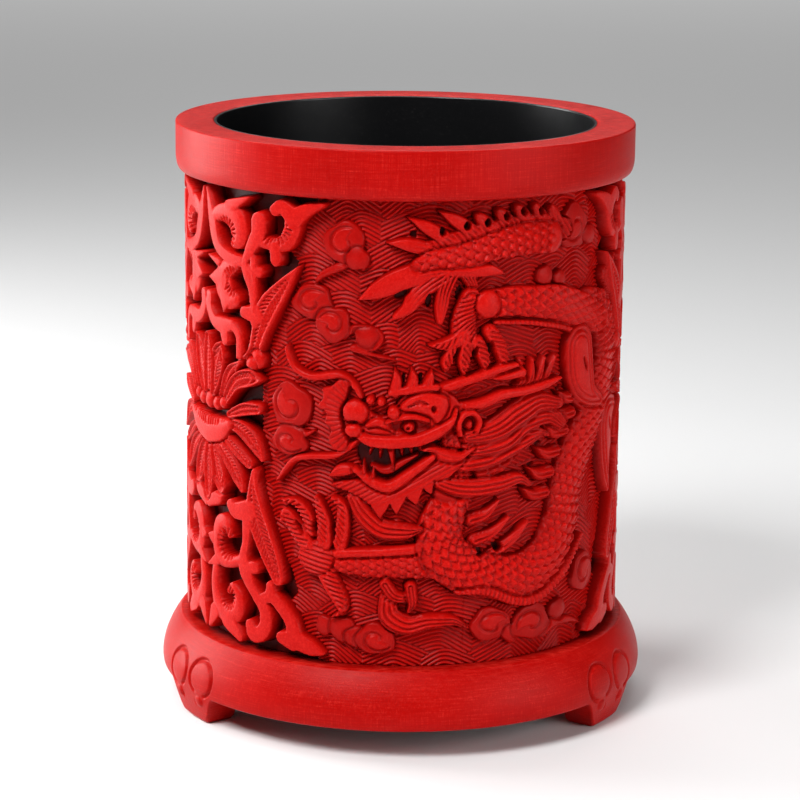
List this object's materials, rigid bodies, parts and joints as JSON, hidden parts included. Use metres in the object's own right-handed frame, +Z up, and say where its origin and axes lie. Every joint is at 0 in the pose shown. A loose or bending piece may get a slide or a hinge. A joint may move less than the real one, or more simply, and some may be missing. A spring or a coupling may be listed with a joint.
{
  "type": "brush holder pot",
  "caption": "Round brush pot with red carved lacquer walls, a plain rim and base band on short feet, and a black lined well.",
  "frame": {"origin": "on the pot's axis, in the plane that the three feet stand on", "axes": "+Z up the pot's axis towards the mouth; -Y is the front, with the dragon's head; +X is to the right seen from the front"},
  "size_m": [0.1074, 0.1074, 0.1285],
  "materials": {
    "wooden_core": "bare turned wood",
    "black_lacquer": "gloss black lacquer",
    "plain_red_lacquer": "satin red lacquer, finely sanded",
    "ground_red_lacquer": "carved red lacquer, darker in the cuts",
    "carved_red_lacquer": "carved red lacquer, satin on the high parts"
  },
  "bodies": {
    "root": {"core_tube": "wooden_core", "core_floor": "wooden_core", "lining_wall": "black_lacquer", "lining_floor": "black_lacquer", "rim_band": "plain_red_lacquer", "carved_ground": "ground_red_lacquer", "dragon_front": "carved_red_lacquer", "dragon_rear": "carved_red_lacquer", "clouds_front": "carved_red_lacquer", "clouds_rear": "carved_red_lacquer", "lotus_left": "carved_red_lacquer", "lotus_right": "carved_red_lacquer", "base_band": "plain_red_lacquer", "foot_left": "plain_red_lacquer", "foot_right": "plain_red_lacquer", "foot_rear": "plain_red_lacquer", "underside_panel": "black_lacquer"}
  },
  "joints": []
}
